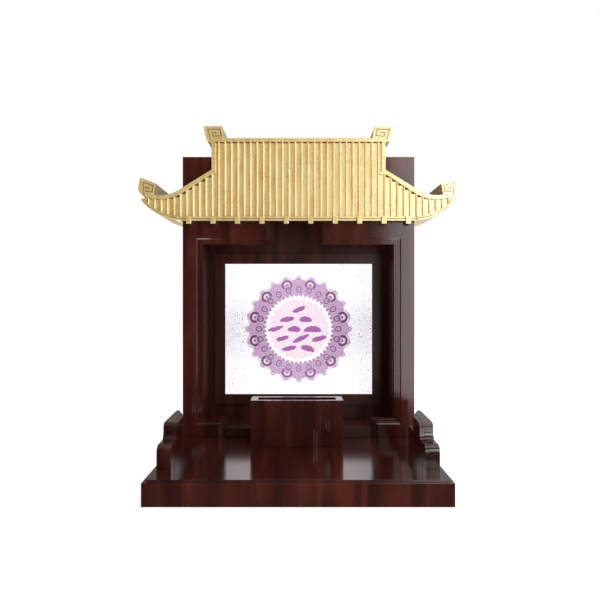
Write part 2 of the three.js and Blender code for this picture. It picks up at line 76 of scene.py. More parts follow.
COLOUR_MIX = {"data_type": "RGBA"}
COLOUR_MULTIPLY = {"data_type": "RGBA", "blend_type": "MULTIPLY"}

# Camera, fitted to the photograph: level, looking along +Y

CAMERA_PLACE = (0.0029, -1.1186, 0.3165)
CAMERA_LENS = 36

# Places along Y of the roof's and the cabinet's faces, and depths behind the roof's front

ROOF_FRONT = 70.7 * MM
VERGE_FACE = 71.3 * MM
FIELD_FACE = 75.2 * MM
CABINET_FACE = 84.7 * MM
GROOVE_DEPTHS = (0.3 * MM, 1.6 * MM)
RETURN_DEPTH = 14 * MM

# Half widths and heights

CABINET_HALF = 232.2 * MM
ROOF_HALF = 172.7 * MM
RIDGE_UNDERSIDE = 630.3 * MM
VERGE_WIDTH = 8 * MM
VERGE_FOOT = 560 * MM
EAVE_RISE = 8.2 * MM
HIP_RISE = 8.4 * MM

# Gap between pieces, depth of ribs in the field, skim off the field's face, spare length of a rib

CLEARANCE = 0.3 * MM
SINK = 0.6 * MM
SKIM = 0.05 * MM
SPARE = 10 * MM

# Slots between the ribs: how far sills lie below the ridge, and backs and walls behind the field

SLOT_SILLS = (2 * MM, 12 * MM)
SILL_REACH = 20 * MM
SLOT_BACKS = (5 * MM, 30 * MM)
SLOT_WALLS = 10 * MM
LARGEST_SLOT_WALL = 400 * MM * MM

# Roof lines in the front elevation, as (x, z) for the right half

EAVE_FLAT = (222 * MM, 473.8 * MM)
EAVE_PULL = (277.6 * MM, 474 * MM)
EAVE_TIP = (311.4 * MM, 513.1 * MM)
HIP_HEAD = (172.7 * MM, 566.3 * MM)
HIP_BEND = (225 * MM, 532.6 * MM)
HIP_PULL = (264 * MM, 505.5 * MM)
HIP_FOOT = (309.2 * MM, 522.9 * MM)
CURVE_STEPS = 24


def linear(hex_colour):
    """An sRGB hex colour as linear RGBA."""
    parts = [int(hex_colour[start:start + 2], 16) / 255 for start in (1, 3, 5)]
    light = [part / 12.92 if part <= 0.04045 else ((part + 0.055) / 1.055) ** 2.4 for part in parts]
    return (*light, 1.0)


# Properties


def length(name, millimetres, description):
    """A length whose default is given in millimetres."""
    return bpy.props.FloatProperty(
        name=name, description=description, default=millimetres * MM, min=0, unit="LENGTH", precision=5)


def colour(name, hex_colour, description):
    """A colour whose default is given as an sRGB hex value."""
    return bpy.props.FloatVectorProperty(
        name=name, description=description, default=linear(hex_colour)[:3], size=3, min=0, max=1,
        subtype="COLOR")


class AltarSizes(bpy.types.PropertyGroup):
    """Sizes of the details that the solids leave out or simplify"""
    lacquer_edge: length("Lacquered edge", 0.8, "Radius of the eased edges under the lacquer")
    frame_edge: length("Face frame edge", 1.9, "Radius of the face frame's rounder edges")
    rail_edge: length("Side rail edge", 0.3, "Radius of the eased edges of the rails' fillets")
    box_edge: length("Incense box edge", 0.45, "Radius of the eased edges of the incense box")
    gilt_edge: length("Gilded edge", 0.45, "Radius of the eased edges of the roof's beams")
    field_edge: length("Roof field edge", 0.3, "Radius of the eased edges of the roof's field")
    verge_edge: length("Verge edge", 0.4, "Radius of the eased edges of the verges")
    glass_edge: length("Glass edge", 0.5, "Radius of the picture glass's eased edges")
    box_end_wall: length("Box end wall", 13, "Thickness of the incense box's end walls")
    box_long_wall: length("Box long wall", 11.5, "Thickness of the incense box's long walls")
    box_floor: length("Box floor", 10, "Thickness of the incense box's floor")
    tee_half: length("T half width", 61.5, "Half the width of the T raised on the incense box")
    tee_stem_half: length("T stem half width", 38, "Half the width of the T's stem")
    tee_arm_bottom: length("T arm underside", 27, "Height of the T's arms above the box's underside")
    tee_step: length("T step", 4.6, "How far the T's upper layer stands back from its lower one")
    tee_rise: length("T rise", 1.4, "Height of each of the T's two layers")
    tee_slope: length("T slope", 1.3, "Width of the sloping sides of each layer")
    rib_pitch: length("Rib pitch", 12.69, "Distance between the roof's ribs")
    rib_width: length("Rib width", 4.8, "Width of one half-round rib")
    rib_rise: length("Rib rise", 3.7, "How far a rib stands out from the field")
    sill_rise: length("Slot sill rise", 1.6, "How far the sills of the slots under the ridge are raised")
    rafter_edge: length("Rafter edge", 0.7, "Radius of the rafter ends' edges")


class AltarFinishes(bpy.types.PropertyGroup):
    """Colours of the finishes and of the painted shade"""
    stain_dark: colour("Dark stain", "#2c100b", "Darkest streaks of the stained mahogany")
    stain_red: colour("Red stain", "#512117", "Lightest, reddest streaks of the stained mahogany")
    # Painted shade: a little of this near black darkens the finish inside the niche.
    niche_shade: colour("Niche stain", "#200e0b", "Nearly black stain inside the niche")
    gilt: colour("Gilding", "#f3d794", "Pale gold of the roof")
    gilt_deep: colour("Deep gilding", "#e0b45e", "Yellower gold where the leaf lies thicker")
    patina: colour("Patina", "#b08c40", "Brown specks where the gilding is rubbed")
    # Painted shade: this brown is mixed into the gilding in carved grooves and on receding sides.
    ground: colour("Gilding ground", "#7a5a28", "Brown ground that shows where the leaf is thin")
    # Painted shade: this dark brown fills the roof's slots and the undersides of the eave and rafters.
    bare_wood: colour("Bare wood", "#3a1c0c", "Ungilded wood in the roof's slots and undersides")
    glass_ground: colour("Print ground", "#f6f3f6", "White ground of the printed glass")
    print_grey: colour("Pale grey", "#6f6575", "Faint scrolls on the print's ground")
    print_pink: colour("Pale pink", "#c6b3be", "Disc in the middle of the print")
    print_lilac: colour("Lilac", "#966a96", "Lighter ornament")
    print_mauve: colour("Mauve", "#562558", "Darker ornament")
    print_stroke: colour("Stroke", "#875587", "Brush strokes in the middle of the print")
    floor: colour("Floor", "#f4f4f4", "Pale studio floor")


# Materials


def add_node(tree, kind, settings=None, inputs=None, output=0):
    """Adds a shader node, sets its settings and inputs, links inputs that are sockets.

    It returns one of the node's outputs.
    """
    node = tree.nodes.new("ShaderNode" + kind)
    for name, value in (settings or {}).items():
        setattr(node, name, value)
    for key, value in (inputs or {}).items():
        if isinstance(value, bpy.types.NodeSocket):
            tree.links.new(value, node.inputs[key])
        else:
            node.inputs[key].default_value = value
    return node.outputs[output] if node.outputs else None


def new_material(name):
    """An empty material with its node tree."""
    material = bpy.data.materials.new(name)
    material.use_nodes = True
    material.node_tree.nodes.clear()
    return material, material.node_tree


def opaque(rgb):
    """A colour property with full alpha."""
    return (*rgb, 1.0)


def lacquered_mahogany(grain, inside=False):
    """Mahogany, stained dark red-brown and polished under clear lacquer.

    The stain gathers in streaks along the grain, and the lacquer over it gives a sharp, deep gloss.
    Inside the niche a little painted shade darkens the colour, and the lacquer is rubbed down to a softer
    sheen.
    """
    name = f"lacquered_mahogany_{'inside' if inside else 'outside'}_grain_{grain}"
    if name in bpy.data.materials:
        return bpy.data.materials[name]
    finishes = bpy.context.scene.altar_finishes
    material, tree = new_material(name)
    place = add_node(tree, "TexCoord", output="Object")
    # A streak is about 24 mm across and 400 mm long, a pore 1.2 mm across and 18 mm long.
    across, along = 1 / (24 * MM), 1 / (400 * MM)
    pore_across, pore_along = 1 / (1.2 * MM), 1 / (18 * MM)
    streak_scale = [along if axis in grain else across for axis in "xyz"]
    pore_scale = [pore_along if axis in grain else pore_across for axis in "xyz"]
    streak_place = add_node(tree, "Mapping", None, {"Vector": place, "Scale": streak_scale})
    streaks = add_node(tree, "TexNoise", None, {
        "Vector": streak_place, "Scale": 1.0, "Detail": 3.0, "Roughness": 0.5, "Distortion": 0.3})
    pore_place = add_node(tree, "Mapping", None, {"Vector": place, "Scale": pore_scale})
    pores = add_node(tree, "TexNoise", None, {
        "Vector": pore_place, "Scale": 1.0, "Detail": 2.0, "Roughness": 0.5})
    # Broad clouds of stain, about 70 mm across.
    clouds = add_node(tree, "TexNoise", None, {"Vector": place, "Scale": 1 / (70 * MM), "Detail": 2.0})
    streak_share = add_node(tree, "MapRange", SMOOTH_STEP, {
        "Value": streaks, "From Min": 0.3, "From Max": 0.7})
    cloud_share = add_node(tree, "MapRange", None, {
        "Value": clouds, "From Min": 0.3, "From Max": 0.7, "To Min": 0.45, "To Max": 1.0})
    share = add_node(tree, "Math", MULTIPLY, {0: streak_share, 1: cloud_share})
    stain = add_node(tree, "Mix", COLOUR_MIX, {
        0: share, 6: opaque(finishes.stain_dark), 7: opaque(finishes.stain_red)}, 2)
    pore_share = add_node(tree, "MapRange", None, {
        "Value": pores, "From Min": 0.3, "From Max": 0.5, "To Min": 0.82, "To Max": 1.0})
    wood = add_node(tree, "Mix", COLOUR_MULTIPLY, {0: 1.0, 6: stain, 7: pore_share}, 2)
    # Painted shade inside the niche: a tenth of the near black is mixed in.
    if inside:
        wood = add_node(tree, "Mix", COLOUR_MIX, {0: 0.1, 6: wood, 7: opaque(finishes.niche_shade)}, 2)
    grain_bump = add_node(tree, "Bump", None, {"Height": pores, "Strength": 0.25, "Distance": 0.1 * MM})
    # The lacquer is nearly flat, with waves about 25 mm across.
    waves = add_node(tree, "TexNoise", None, {"Vector": place, "Scale": 1 / (25 * MM), "Detail": 1.0})
    lacquer_bump = add_node(tree, "Bump", None, {
        "Height": waves, "Strength": 0.12, "Distance": 0.12 * MM})
    shader = add_node(tree, "BsdfPrincipled", None, {
        "Base Color": wood, "Roughness": 0.5, "Specular IOR Level": 0.0, "IOR": 1.5,
        "Normal": grain_bump, "Coat Weight": 0.5 if inside else 1.0,
        "Coat Roughness": 0.3 if inside else 0.13, "Coat IOR": 1.7,
        "Coat Normal": lacquer_bump})
    add_node(tree, "OutputMaterial", None, {"Surface": shader})
    return material


def gilded_wood(shade_amount=0.0):
    """Pale gold leaf finish over carved wood, rubbed back by hand.

    It shines softly, yellower where the leaf is thick, with brown specks where it is rubbed.
    A shade amount mixes in brown as painted shade, for carved grooves and receding sides.
    """
    name = f"gilding_thinned_{shade_amount:.2f}"
    if name in bpy.data.materials:
        return bpy.data.materials[name]
    finishes = bpy.context.scene.altar_finishes
    material, tree = new_material(name)
    place = add_node(tree, "TexCoord", output="Object")
    # Leaf tone changes from board to board, about 11 mm across and 60 mm up.
    tone_place = add_node(tree, "Mapping", None, {
        "Vector": place, "Scale": (1 / (11 * MM), 1 / (60 * MM), 1 / (60 * MM))})
    tone = add_node(tree, "TexNoise", None, {
        "Vector": tone_place, "Scale": 1.0, "Detail": 3.0, "Roughness": 0.55})
    tone_share = add_node(tree, "MapRange", SMOOTH_STEP, {
        "Value": tone, "From Min": 0.42, "From Max": 0.74, "To Min": 0.0, "To Max": 0.75})
    leaf = add_node(tree, "Mix", COLOUR_MIX, {
        0: tone_share, 6: opaque(finishes.gilt), 7: opaque(finishes.gilt_deep)}, 2)
    # Rubbed specks are about 5 mm across, in patches about 60 mm wide.
    specks = add_node(tree, "TexNoise", None, {
        "Vector": place, "Scale": 1 / (5 * MM), "Detail": 2.0, "Roughness": 0.5})
    patches = add_node(tree, "TexNoise", None, {"Vector": place, "Scale": 1 / (60 * MM), "Detail": 1.0})
    speck_share = add_node(tree, "MapRange", SMOOTH_STEP, {
        "Value": specks, "From Min": 0.48, "From Max": 0.68})
    patch_share = add_node(tree, "MapRange", None, {
        "Value": patches, "From Min": 0.4, "From Max": 0.64, "To Min": 0.1, "To Max": 0.55})
    rubbed = add_node(tree, "Math", MULTIPLY, {0: speck_share, 1: patch_share})
    gold = add_node(tree, "Mix", COLOUR_MIX, {0: rubbed, 6: leaf, 7: opaque(finishes.patina)}, 2)
    # Painted shade: the brown is mixed in by the shade amount.
    if shade_amount:
        gold = add_node(tree, "Mix", COLOUR_MIX, {0: shade_amount, 6: gold, 7: opaque(finishes.ground)}, 2)
    rough = add_node(tree, "MapRange", None, {
        "Value": specks, "From Min": 0.3, "From Max": 0.7, "To Min": 0.3, "To Max": 0.42})
    hammered = add_node(tree, "Bump", None, {"Height": specks, "Strength": 0.12, "Distance": 0.15 * MM})
    shader = add_node(tree, "BsdfPrincipled", None, {
        "Base Color": gold, "Metallic": 0.2 if shade_amount else 0.4, "Roughness": rough,
        "Normal": hammered, "Coat Weight": 0.2 if shade_amount else 1.0, "Coat Roughness": 0.28,
        "Coat IOR": 2.0})
    add_node(tree, "OutputMaterial", None, {"Surface": shader})
    return material


def bare_wood():
    """Painted shade: matt dark brown with wood fibres, for the roof's slots and the undersides."""
    if "bare_wood" in bpy.data.materials:
        return bpy.data.materials["bare_wood"]
    finishes = bpy.context.scene.altar_finishes
    material, tree = new_material("bare_wood")
    place = add_node(tree, "TexCoord", output="Object")
    # Fibres are about 1 mm across and 20 mm long.
    fibre_place = add_node(tree, "Mapping", None, {
        "Vector": place, "Scale": (1 / (1 * MM), 1 / (1 * MM), 1 / (20 * MM))})
    fibres = add_node(tree, "TexNoise", None, {"Vector": fibre_place, "Scale": 1.0})
    shade = add_node(tree, "MapRange", None, {"Value": fibres, "To Min": 0.5, "To Max": 1.3})
    wood = add_node(tree, "Mix", COLOUR_MULTIPLY, {0: 1.0, 6: opaque(finishes.bare_wood), 7: shade}, 2)
    shader = add_node(tree, "BsdfPrincipled", None, {"Base Color": wood, "Roughness": 0.8})
    add_node(tree, "OutputMaterial", None, {"Surface": shader})
    return material


def printed_glass(centre):
    """White glass, printed on its back in mauve.

    The glass gives a sharp gloss over flat, even colours, which also glow as painted light, though the
    panel is no lamp.
    """
    material, tree = new_material("back_printed_glass")
    place = add_node(tree, "TexCoord", output="Object")
    # From here on the pattern is in millimetres from the middle of the print.
    offset = [-part / MM for part in centre]
    print_place = add_node(tree, "Mapping", None, {
        "Vector": place, "Location": offset, "Scale": (1 / MM, 1 / MM, 1 / MM)})
    parts = add_node(tree, "SeparateXYZ", None, {0: print_place}).node
    across, up = parts.outputs["X"], parts.outputs["Z"]
    flat = add_node(tree, "CombineXYZ", None, {"X": across, "Z": up})
    radius = add_node(tree, "VectorMath", VECTOR_LENGTH, {0: flat}, "Value")
    angle = add_node(tree, "Math", {"operation": "ARCTAN2"}, {0: up, 1: across})

    picture = print_scrolls(tree, flat, across, up)
    # The mauve is full at the left and right, and lighter above and below.
    toward_side = add_node(tree, "Math", {"operation": "COSINE"}, {0: angle})
    squared = add_node(tree, "Math", {"operation": "POWER"}, {0: toward_side, 1: 2.0})
    strength = add_node(tree, "MapRange", None, {"Value": squared, "To Min": 0.4, "To Max": 1.0})
    picture = print_lilac_band(tree, picture, angle, radius, strength)
    picture = print_petals(tree, picture, angle, radius, strength)
    picture = print_disc(tree, picture, flat, angle, radius)
    picture = print_strokes(tree, picture, flat, across, up)

    # Only three tenths of the print take the room's light; most of its brightness is painted light, a
    # glow of 1.5 though the panel is no lamp.
    behind = add_node(tree, "Mix", COLOUR_MIX, {0: 0.3, 6: (0, 0, 0, 1), 7: picture}, 2)
    shader = add_node(tree, "BsdfPrincipled", None, {
        "Base Color": behind, "Roughness": 0.5, "Specular IOR Level": 0.0, "IOR": 1.5,
        "Coat Weight": 1.0, "Coat Roughness": 0.03, "Coat IOR": 1.52,
        "Emission Color": picture, "Emission Strength": 1.5})
    add_node(tree, "OutputMaterial", None, {"Surface": shader})
    return material


def print_scrolls(tree, flat, across, up):
    """White with faint scrolling lines, the height lines of a soft noise about 24 mm across."""
    finishes = bpy.context.scene.altar_finishes
    scroll = add_node(tree, "TexNoise", None, {
        "Vector": flat, "Scale": 1 / 24, "Detail": 0.5, "Roughness": 0.5, "Distortion": 2.2})
    folded = add_node(tree, "Math", {"operation": "PINGPONG"}, {0: scroll, 1: 0.035})
    line = add_node(tree, "MapRange", SMOOTH_STEP, {
        "Value": folded, "From Min": 0.004, "From Max": 0.016, "To Min": 1.0, "To Max": 0.45})
    # The lines grow stronger towards the left and right, and fainter above and below.
    side = add_node(tree, "Math", ABSOLUTE, {0: across})
    side_share = add_node(tree, "MapRange", None, {
        "Value": side, "From Min": 60.0, "From Max": 140.0, "To Min": 0.62, "To Max": 0.88})
    level = add_node(tree, "Math", ABSOLUTE, {0: up})
    level_share = add_node(tree, "MapRange", SMOOTH_STEP, {
        "Value": level, "From Min": 20.0, "From Max": 80.0, "To Min": 1.0, "To Max": 0.72})
    area = add_node(tree, "Math", MULTIPLY, {0: side_share, 1: level_share})
    scroll_share = add_node(tree, "Math", MULTIPLY, {0: line, 1: area})
    return add_node(tree, "Mix", COLOUR_MIX, {
        0: scroll_share, 6: opaque(finishes.glass_ground), 7: opaque(finishes.print_grey)}, 2)


def print_lilac_band(tree, picture, angle, radius, strength):
    """A lilac band with twelve round lobes, under the petals."""
    finishes = bpy.context.scene.altar_finishes
    lobe_count, lobe_rise = 12, 16.0
    lobe = add_node(tree, "Math", MULTIPLY, {0: angle, 1: lobe_count / 2})
    lobe_wave = add_node(tree, "Math", {"operation": "COSINE"}, {0: lobe})
    lobe_share = add_node(tree, "Math", ABSOLUTE, {0: lobe_wave})
    band_edge = add_node(tree, "Math", MULTIPLY_ADD, {0: lobe_share, 1: -lobe_rise, 2: radius})
    band = add_node(tree, "MapRange", SMOOTH_STEP, {
        "Value": band_edge, "From Min": 92.0, "From Max": 96.0, "To Min": 1.0, "To Max": 0.0})
    band_ink = add_node(tree, "Math", MULTIPLY_ADD, {0: strength, 1: 0.15, 2: 0.72})
    band_start = add_node(tree, "MapRange", SMOOTH_STEP, {
        "Value": radius, "From Min": 72.0, "From Max": 77.0})
    ringed = add_node(tree, "Math", MULTIPLY, {0: band, 1: band_start})
    band_share = add_node(tree, "Math", MULTIPLY, {0: ringed, 1: band_ink})
    return add_node(tree, "Mix", COLOUR_MIX, {
        0: band_share, 6: picture, 7: opaque(finishes.print_lilac)}, 2)


def print_petals(tree, picture, angle, radius, strength):
    """Four rings of rippled petals in ink that runs from lilac to mauve."""
    finishes = bpy.context.scene.altar_finishes
    ink = add_node(tree, "Mix", COLOUR_MIX, {
        0: strength, 6: opaque(finishes.print_lilac), 7: opaque(finishes.print_mauve)}, 2)
    turn = add_node(tree, "Math", {"operation": "DIVIDE"}, {0: angle, 1: 2 * math.pi})
    # Cells are counted from 100, so that the count stays above zero all round.
    first_cell = 100
    # Count, shift in cells, radius of the ring, half height, half width in cells, strength of ink
    for count, shift, ring, half_height, half_width, tint in (
            (24, 0.5, 111.0, 6.0, 0.22, 0.8),
            (12, 0.0, 98.0, 16.0, 0.34, 1.0),
            (24, 0.5, 86.0, 11.0, 0.42, 0.9),
            (48, 0.0, 74.0, 4.0, 0.36, 1.0)):
        cells = add_node(tree, "Math", MULTIPLY_ADD, {0: turn, 1: float(count), 2: shift + first_cell})
        cell = add_node(tree, "Math", {"operation": "FRACT"}, {0: cells})
        beside = add_node(tree, "Math", MULTIPLY_ADD, {0: cell, 1: 1 / half_width, 2: -0.5 / half_width})
        beyond = add_node(tree, "Math", MULTIPLY_ADD, {
            0: radius, 1: 1 / half_height, 2: -ring / half_height})
        petal_place = add_node(tree, "CombineXYZ", None, {"X": beside, "Y": beyond})
        petal = add_node(tree, "VectorMath", VECTOR_LENGTH, {0: petal_place}, "Value")
        ripple = add_node(tree, "Math", {"operation": "PINGPONG"}, {0: petal, 1: 0.28})
        fill = add_node(tree, "MapRange", None, {
            "Value": ripple, "From Min": 0.08, "From Max": 0.26, "To Min": tint, "To Max": tint * 0.3})
        mask = add_node(tree, "MapRange", SMOOTH_STEP, {
            "Value": petal, "From Min": 0.92, "From Max": 1.08, "To Min": 1.0, "To Max": 0.0})
        ink_share = add_node(tree, "Math", MULTIPLY, {0: fill, 1: mask})
        # The white ground shows a little through each petal.
        bare_share = add_node(tree, "Math", MULTIPLY, {0: mask, 1: 0.25})
        bare = add_node(tree, "Mix", COLOUR_MIX, {
            0: bare_share, 6: picture, 7: opaque(finishes.glass_ground)}, 2)
        picture = add_node(tree, "Mix", COLOUR_MIX, {0: ink_share, 6: bare, 7: ink}, 2)
    return picture


def print_disc(tree, picture, flat, angle, radius):
    """The pale disc in the middle, mottled, with a scalloped edge."""
    finishes = bpy.context.scene.altar_finishes
    scallop_count, scallop_rise = 24, 5.0
    turns = add_node(tree, "Math", MULTIPLY, {0: angle, 1: scallop_count / 2})
    wave = add_node(tree, "Math", {"operation": "SINE"}, {0: turns})
    bulge = add_node(tree, "Math", ABSOLUTE, {0: wave})
    rim = add_node(tree, "Math", MULTIPLY_ADD, {0: bulge, 1: -scallop_rise, 2: radius})
    inside = add_node(tree, "MapRange", SMOOTH_STEP, {
        "Value": rim, "From Min": 60.5, "From Max": 62.5, "To Min": 1.0, "To Max": 0.0})
    mottle = add_node(tree, "TexNoise", None, {"Vector": flat, "Scale": 1 / 9, "Detail": 3.0})
    mottle_share = add_node(tree, "MapRange", None, {
        "Value": mottle, "From Min": 0.3, "From Max": 0.7, "To Min": 0.7, "To Max": 1.0})
    disc_share = add_node(tree, "Math", MULTIPLY, {0: inside, 1: mottle_share})
    return add_node(tree, "Mix", COLOUR_MIX, {
        0: disc_share, 6: picture, 7: opaque(finishes.print_pink)}, 2)


def print_strokes(tree, picture, flat, across, up):
    """Rows of leaning, bowed brush strokes in the middle, one in each cell of a staggered grid."""
    finishes = bpy.context.scene.altar_finishes
    row_height, cell_width = 21.0, 40.0
    area_half_width, area_half_height = 52.0, 46.0
    thinnest, thickest = 0.2, 0.34
    rows = add_node(tree, "Math", {"operation": "DIVIDE"}, {0: up, 1: row_height})
    row = add_node(tree, "Math", {"operation": "ROUND"}, {0: rows})
    # Each row is shifted by 0.37 of a cell against the next, counted from above zero.
    stagger = add_node(tree, "Math", MULTIPLY_ADD, {0: row, 1: 0.37, 2: 100.25})
    row_shift = add_node(tree, "Math", {"operation": "FRACT"}, {0: stagger})
    columns = add_node(tree, "Math", MULTIPLY_ADD, {0: across, 1: 1 / cell_width, 2: row_shift})
    column = add_node(tree, "Math", {"operation": "ROUND"}, {0: columns})
    along = add_node(tree, "Math", {"operation": "SUBTRACT"}, {0: columns, 1: column})
    above = add_node(tree, "Math", {"operation": "SUBTRACT"}, {0: rows, 1: row})
    # Tilt, length, thickness and bow differ from stroke to stroke.
    cell_name = add_node(tree, "CombineXYZ", None, {"X": column, "Y": row})
    chance = add_node(tree, "TexWhiteNoise", {"noise_dimensions": "3D"}, {"Vector": cell_name}, "Color")
    chances = add_node(tree, "SeparateXYZ", None, {0: chance}).node.outputs
    tilt = add_node(tree, "MapRange", None, {"Value": chances["X"], "To Min": -0.9, "To Max": 0.6})
    half_length = add_node(tree, "MapRange", None, {"Value": chances["Y"], "To Min": 0.34, "To Max": 0.5})
    thickness = add_node(tree, "MapRange", None, {
        "Value": chances["Z"], "To Min": thinnest, "To Max": thickest})
    bend = add_node(tree, "Math", {"operation": "SUBTRACT"}, {0: thickness, 1: (thinnest + thickest) / 2})
    bow = add_node(tree, "Math", MULTIPLY, {0: bend, 1: 12.0})
    along_squared = add_node(tree, "Math", MULTIPLY, {0: along, 1: along})
    # The brush wavers about every 7 mm.
    brush = add_node(tree, "TexNoise", None, {"Vector": flat, "Scale": 1 / 7, "Detail": 2.0})
    wobble = add_node(tree, "Math", MULTIPLY_ADD, {0: brush, 1: 0.3, 2: -0.15})
    lean = add_node(tree, "Math", MULTIPLY_ADD, {0: along, 1: tilt, 2: wobble})
    straight = add_node(tree, "Math", {"operation": "ADD"}, {0: above, 1: lean})
    off_line = add_node(tree, "Math", MULTIPLY_ADD, {0: along_squared, 1: bow, 2: straight})
    away = add_node(tree, "Math", {"operation": "DIVIDE"}, {0: off_line, 1: thickness})
    spent = add_node(tree, "Math", {"operation": "DIVIDE"}, {0: along, 1: half_length})
    stroke_place = add_node(tree, "CombineXYZ", None, {"X": spent, "Y": away})
    stroke = add_node(tree, "VectorMath", VECTOR_LENGTH, {0: stroke_place}, "Value")
    stroke_mask = add_node(tree, "MapRange", SMOOTH_STEP, {
        "Value": stroke, "From Min": 0.88, "From Max": 1.06, "To Min": 1.0, "To Max": 0.0})
    # Only whole cells whose middle lies near the centre carry a stroke.
    middle_x = add_node(tree, "Math", {"operation": "SUBTRACT"}, {0: column, 1: row_shift})
    far_x = add_node(tree, "Math", MULTIPLY, {0: middle_x, 1: cell_width / area_half_width})
    far_z = add_node(tree, "Math", MULTIPLY, {0: row, 1: row_height / area_half_height})
    far = add_node(tree, "CombineXYZ", None, {"X": far_x, "Y": far_z})
    distance = add_node(tree, "VectorMath", VECTOR_LENGTH, {0: far}, "Value")
    near = add_node(tree, "Math", {"operation": "LESS_THAN"}, {0: distance, 1: 1.0})
    stroke_share = add_node(tree, "Math", MULTIPLY, {0: stroke_mask, 1: near})
    return add_node(tree, "Mix", COLOUR_MIX, {
        0: stroke_share, 6: picture, 7: opaque(finishes.print_stroke)}, 2)


def studio_paint():
    """Matt pale paint on the studio floor, even, with the faint mottle of a rolled coat."""
    finishes = bpy.context.scene.altar_finishes
    material, tree = new_material("studio_paint")
    place = add_node(tree, "TexCoord", output="Object")
    mottle = add_node(tree, "TexNoise", None, {"Vector": place, "Scale": 1 / (40 * MM)})
    share = add_node(tree, "MapRange", None, {"Value": mottle, "To Min": 0.97, "To Max": 1.0})
    paint = add_node(tree, "Mix", COLOUR_MULTIPLY, {0: 1.0, 6: opaque(finishes.floor), 7: share}, 2)
    shader = add_node(tree, "BsdfPrincipled", None, {
        "Base Color": paint, "Roughness": 0.9, "Specular IOR Level": 0.0,
        "Emission Color": paint, "Emission Strength": 0.65})
    add_node(tree, "OutputMaterial", None, {"Surface": shader})
    return material


# Modelling


def only(*pieces):
    """Deselects all, then selects these pieces, the first one active."""
    bpy.ops.object.select_all(action="DESELECT")
    for piece in pieces:
        piece.select_set(True)
    bpy.context.view_layer.objects.active = pieces[0]


def block(name, low, high):
    """A box between two corners, with its place in its mesh."""
    bpy.ops.object.select_all(action="DESELECT")
    middle = [(start + end) / 2 for start, end in zip(low, high)]
    extent = [end - start for start, end in zip(low, high)]
    bpy.ops.mesh.primitive_cube_add(size=1, location=middle, scale=extent)
    piece = bpy.context.object
    piece.name = name
    bpy.ops.object.transform_apply(location=True, rotation=True, scale=True)
    return piece


def select_faces(piece, test):
    """In edit mode, selects the faces whose middle and normal pass the test, and nothing else."""
    bpy.ops.mesh.select_all(action="DESELECT")
    bpy.ops.mesh.select_mode(type="FACE")
    bpy.ops.object.mode_set(mode="OBJECT")
    for face in piece.data.polygons:
        face.select = test(face.center, face.normal)
    bpy.ops.object.mode_set(mode="EDIT")


def cut(piece, point, normal):
    """Cuts the piece by a plane, removes what lies on the normal's side and closes the cut."""
    only(piece)
    bpy.ops.object.mode_set(mode="EDIT")
    bpy.ops.mesh.select_all(action="SELECT")
    bpy.ops.mesh.bisect(
        plane_co=point, plane_no=normal, use_fill=True, clear_outer=True, threshold=CUT_TOLERANCE)
    bpy.ops.object.mode_set(mode="OBJECT")


def carried(node, name):
    """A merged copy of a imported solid, its flat faces whole again."""
    piece = bpy.data.objects.new(name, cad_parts[node].data.copy())
    bpy.context.scene.collection.objects.link(piece)
    piece.data.materials.clear()
    only(piece)
    bpy.ops.object.mode_set(mode="EDIT")
    bpy.ops.mesh.select_all(action="SELECT")
    bpy.ops.mesh.remove_doubles(threshold=MERGE_DISTANCE)
    bpy.ops.mesh.dissolve_limited(angle_limit=FLAT_ANGLE)
    bpy.ops.object.mode_set(mode="OBJECT")
    bpy.ops.mesh.customdata_custom_splitnormals_clear()
    return piece


def ease_edges(piece, radius, segments=3):
    """Rounds the sharp edges, then shades the flats flat and the curves smooth."""
    only(piece)
    bevel = piece.modifiers.new("eased_edges", "BEVEL")
    bevel.width = radius
    bevel.segments = segments
    bevel.limit_method = "ANGLE"
    bevel.angle_limit = math.radians(32)
    bpy.ops.object.modifier_apply(modifier=bevel.name)
    bpy.ops.object.shade_smooth()
    weighted = piece.modifiers.new("flat_faces", "WEIGHTED_NORMAL")
    weighted.weight = 100
    bpy.ops.object.modifier_apply(modifier=weighted.name)


def hand_over(piece, node):
    """Gives the piece its body and hides the solid that it stands for."""
    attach(piece, "root")
    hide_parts(node)


def polished(context, node, grain, edge="lacquer_edge", inside=None):
    """A lacquered board carried over from its solid, with eased edges.

    The test named inside tells which of its faces get the niche's painted shade and softer sheen.
    """
    piece = carried(node, f"{node}_polished")
    piece.data.materials.append(lacquered_mahogany(grain))
    if inside:
        piece.data.materials.append(lacquered_mahogany(grain, inside=True))
        for face in piece.data.polygons:
            face.material_index = int(inside(face))
    ease_edges(piece, getattr(context.scene.altar_sizes, edge))
    hand_over(piece, node)


def gilded(context, node):
    """A gilded member of the roof, from its solid, with eased edges and brown painted shade in its
    grooves and on its receding sides.
    """
    piece = carried(node, f"{node}_gilded")
    piece.data.materials.append(gilded_wood())
    piece.data.materials.append(gilded_wood(shade_amount=0.8))
    piece.data.materials.append(gilded_wood(shade_amount=0.55))
    for face in piece.data.polygons:
        depth = face.center.y - ROOF_FRONT
        # Painted shade: the faces of carved grooves get the darkest brown.
        if GROOVE_DEPTHS[0] < depth < GROOVE_DEPTHS[1]:
            face.material_index = 1
        # Painted shade, lighter than in the grooves: receding sides and tops, but no undersides.
        elif depth > RETURN_DEPTH and abs(face.normal.y) < 0.5 and face.normal.z > -0.3:
            face.material_index = 2
    ease_edges(piece, context.scene.altar_sizes.gilt_edge, 2)
    hand_over(piece, node)
    return piece


def curve_points(start, pull, end):
    """Points along a quadratic curve in the front elevation."""
    points = []
    for step in range(CURVE_STEPS + 1):
        share = step / CURVE_STEPS
        rest = 1 - share
        points.append(tuple(
            rest * rest * first + 2 * rest * share * middle + share * share * last
            for first, middle, last in zip(start, pull, end)))
    return points


